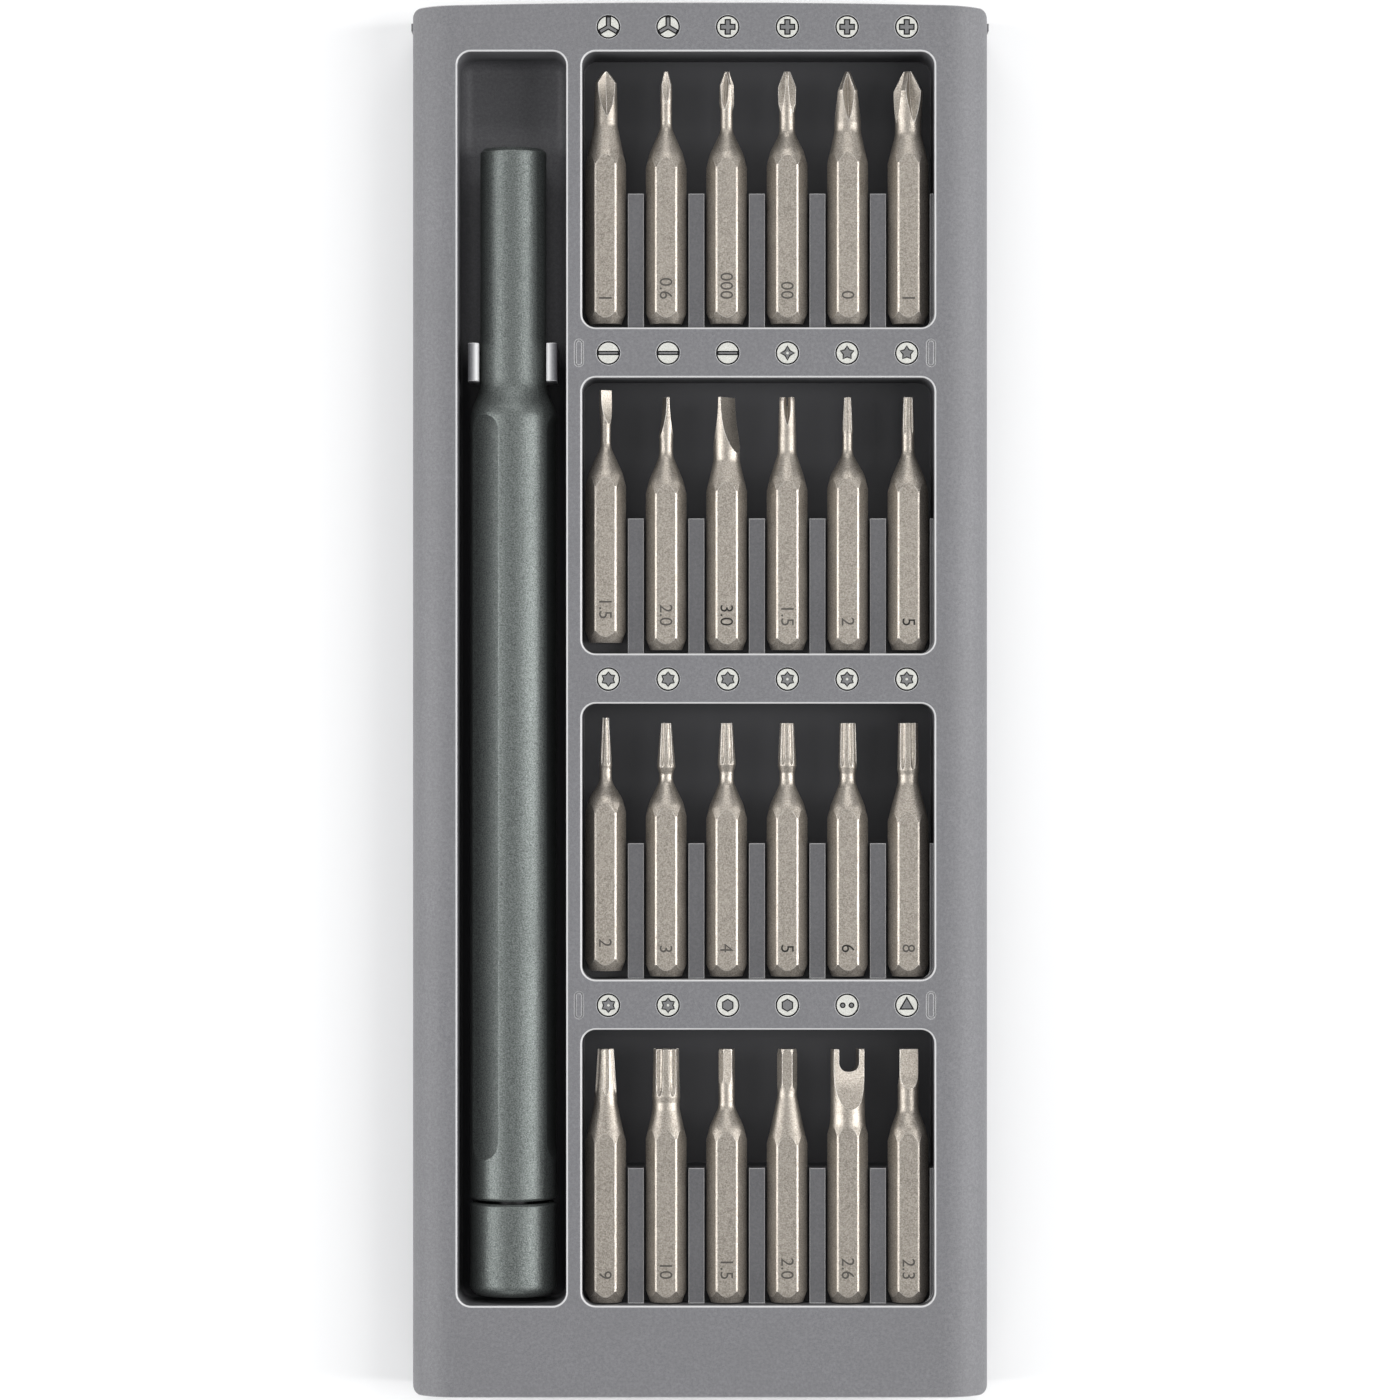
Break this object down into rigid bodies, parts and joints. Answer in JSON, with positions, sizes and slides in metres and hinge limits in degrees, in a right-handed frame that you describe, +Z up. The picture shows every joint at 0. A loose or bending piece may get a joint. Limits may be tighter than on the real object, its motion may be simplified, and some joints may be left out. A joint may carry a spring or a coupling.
{
  "type": "precision screwdriver set",
  "caption": "Flat moulded tray with a spin-cap precision driver beside four rows of small double-pitch hexagonal bits held by magnets.",
  "frame": {"origin": "centre of the flat underside of the tray", "axes": "+X across the tray away from the driver, +Y along the tray towards the driver's nose, +Z up"},
  "size_m": [0.0644, 0.1538, 0.014],
  "materials": {
    "tray_plastic": "fine satin",
    "cover_plastic": "fine satin",
    "clip_plastic": "satin",
    "magnet_nickel": "nickel plated",
    "barrel_anodised": "satin anodised, dark green-grey",
    "cap_anodised": "satin anodised, dark green-grey",
    "bit_steel": "satin nickel plated",
    "ball_steel": "polished",
    "hidden_steel": "ground"
  },
  "bodies": {
    "tray": {"tray_shell": "tray_plastic", "base_cover": "cover_plastic", "rack_magnet_1": "magnet_nickel", "rack_magnet_2": "magnet_nickel", "rack_magnet_3": "magnet_nickel", "rack_magnet_4": "magnet_nickel", "neck_clip": "clip_plastic"},
    "driver": {"driver_barrel": "barrel_anodised", "bit_socket": "hidden_steel", "socket_magnet": "magnet_nickel", "cap_spindle": "hidden_steel", "bearing_spacer": "hidden_steel", "bearing_inner_ring": "hidden_steel", "bearing_balls": "ball_steel"},
    "cap": {"spin_cap": "cap_anodised", "bearing_outer_ring": "hidden_steel"},
    "bit_tri_wing_1": {"bit_tri_wing_1": "bit_steel"},
    "bit_tri_wing_0_6": {"bit_tri_wing_0_6": "bit_steel"},
    "bit_cross_000": {"bit_cross_000": "bit_steel"},
    "bit_cross_00": {"bit_cross_00": "bit_steel"},
    "bit_cross_0": {"bit_cross_0": "bit_steel"},
    "bit_cross_1": {"bit_cross_1": "bit_steel"},
    "bit_slot_1_5": {"bit_slot_1_5": "bit_steel"},
    "bit_slot_2_0": {"bit_slot_2_0": "bit_steel"},
    "bit_slot_3_0": {"bit_slot_3_0": "bit_steel"},
    "bit_crown_1_5": {"bit_crown_1_5": "bit_steel"},
    "bit_five_lobe_2": {"bit_five_lobe_2": "bit_steel"},
    "bit_five_lobe_5": {"bit_five_lobe_5": "bit_steel"},
    "bit_six_lobe_2": {"bit_six_lobe_2": "bit_steel"},
    "bit_six_lobe_3": {"bit_six_lobe_3": "bit_steel"},
    "bit_six_lobe_4": {"bit_six_lobe_4": "bit_steel"},
    "bit_six_lobe_pin_5": {"bit_six_lobe_pin_5": "bit_steel"},
    "bit_six_lobe_pin_6": {"bit_six_lobe_pin_6": "bit_steel"},
    "bit_six_lobe_pin_8": {"bit_six_lobe_pin_8": "bit_steel"},
    "bit_six_lobe_pin_9": {"bit_six_lobe_pin_9": "bit_steel"},
    "bit_six_lobe_pin_10": {"bit_six_lobe_pin_10": "bit_steel"},
    "bit_hexagon_1_5": {"bit_hexagon_1_5": "bit_steel"},
    "bit_hexagon_2_0": {"bit_hexagon_2_0": "bit_steel"},
    "bit_fork_2_6": {"bit_fork_2_6": "bit_steel"},
    "bit_triangle_2_3": {"bit_triangle_2_3": "bit_steel"}
  },
  "joints": [
    {"name": "driver_lift", "type": "slide", "parent": "tray", "child": "driver", "axis": [0, 0, 1], "range_m": [0, 0.02]},
    {"name": "cap_spin", "type": "hinge", "parent": "driver", "child": "cap", "pos_m": [-0.02075, -0.061, 0.00865], "axis": [0, 1, 0], "continuous": true},
    {"name": "lift_tri_wing_1", "type": "slide", "parent": "tray", "child": "bit_tri_wing_1", "axis": [0, 0, 1], "range_m": [0, 0.02]},
    {"name": "lift_tri_wing_0_6", "type": "slide", "parent": "tray", "child": "bit_tri_wing_0_6", "axis": [0, 0, 1], "range_m": [0, 0.02]},
    {"name": "lift_cross_000", "type": "slide", "parent": "tray", "child": "bit_cross_000", "axis": [0, 0, 1], "range_m": [0, 0.02]},
    {"name": "lift_cross_00", "type": "slide", "parent": "tray", "child": "bit_cross_00", "axis": [0, 0, 1], "range_m": [0, 0.02]},
    {"name": "lift_cross_0", "type": "slide", "parent": "tray", "child": "bit_cross_0", "axis": [0, 0, 1], "range_m": [0, 0.02]},
    {"name": "lift_cross_1", "type": "slide", "parent": "tray", "child": "bit_cross_1", "axis": [0, 0, 1], "range_m": [0, 0.02]},
    {"name": "lift_slot_1_5", "type": "slide", "parent": "tray", "child": "bit_slot_1_5", "axis": [0, 0, 1], "range_m": [0, 0.02]},
    {"name": "lift_slot_2_0", "type": "slide", "parent": "tray", "child": "bit_slot_2_0", "axis": [0, 0, 1], "range_m": [0, 0.02]},
    {"name": "lift_slot_3_0", "type": "slide", "parent": "tray", "child": "bit_slot_3_0", "axis": [0, 0, 1], "range_m": [0, 0.02]},
    {"name": "lift_crown_1_5", "type": "slide", "parent": "tray", "child": "bit_crown_1_5", "axis": [0, 0, 1], "range_m": [0, 0.02]},
    {"name": "lift_five_lobe_2", "type": "slide", "parent": "tray", "child": "bit_five_lobe_2", "axis": [0, 0, 1], "range_m": [0, 0.02]},
    {"name": "lift_five_lobe_5", "type": "slide", "parent": "tray", "child": "bit_five_lobe_5", "axis": [0, 0, 1], "range_m": [0, 0.02]},
    {"name": "lift_six_lobe_2", "type": "slide", "parent": "tray", "child": "bit_six_lobe_2", "axis": [0, 0, 1], "range_m": [0, 0.02]},
    {"name": "lift_six_lobe_3", "type": "slide", "parent": "tray", "child": "bit_six_lobe_3", "axis": [0, 0, 1], "range_m": [0, 0.02]},
    {"name": "lift_six_lobe_4", "type": "slide", "parent": "tray", "child": "bit_six_lobe_4", "axis": [0, 0, 1], "range_m": [0, 0.02]},
    {"name": "lift_six_lobe_pin_5", "type": "slide", "parent": "tray", "child": "bit_six_lobe_pin_5", "axis": [0, 0, 1], "range_m": [0, 0.02]},
    {"name": "lift_six_lobe_pin_6", "type": "slide", "parent": "tray", "child": "bit_six_lobe_pin_6", "axis": [0, 0, 1], "range_m": [0, 0.02]},
    {"name": "lift_six_lobe_pin_8", "type": "slide", "parent": "tray", "child": "bit_six_lobe_pin_8", "axis": [0, 0, 1], "range_m": [0, 0.02]},
    {"name": "lift_six_lobe_pin_9", "type": "slide", "parent": "tray", "child": "bit_six_lobe_pin_9", "axis": [0, 0, 1], "range_m": [0, 0.02]},
    {"name": "lift_six_lobe_pin_10", "type": "slide", "parent": "tray", "child": "bit_six_lobe_pin_10", "axis": [0, 0, 1], "range_m": [0, 0.02]},
    {"name": "lift_hexagon_1_5", "type": "slide", "parent": "tray", "child": "bit_hexagon_1_5", "axis": [0, 0, 1], "range_m": [0, 0.02]},
    {"name": "lift_hexagon_2_0", "type": "slide", "parent": "tray", "child": "bit_hexagon_2_0", "axis": [0, 0, 1], "range_m": [0, 0.02]},
    {"name": "lift_fork_2_6", "type": "slide", "parent": "tray", "child": "bit_fork_2_6", "axis": [0, 0, 1], "range_m": [0, 0.02]},
    {"name": "lift_triangle_2_3", "type": "slide", "parent": "tray", "child": "bit_triangle_2_3", "axis": [0, 0, 1], "range_m": [0, 0.02]}
  ]
}
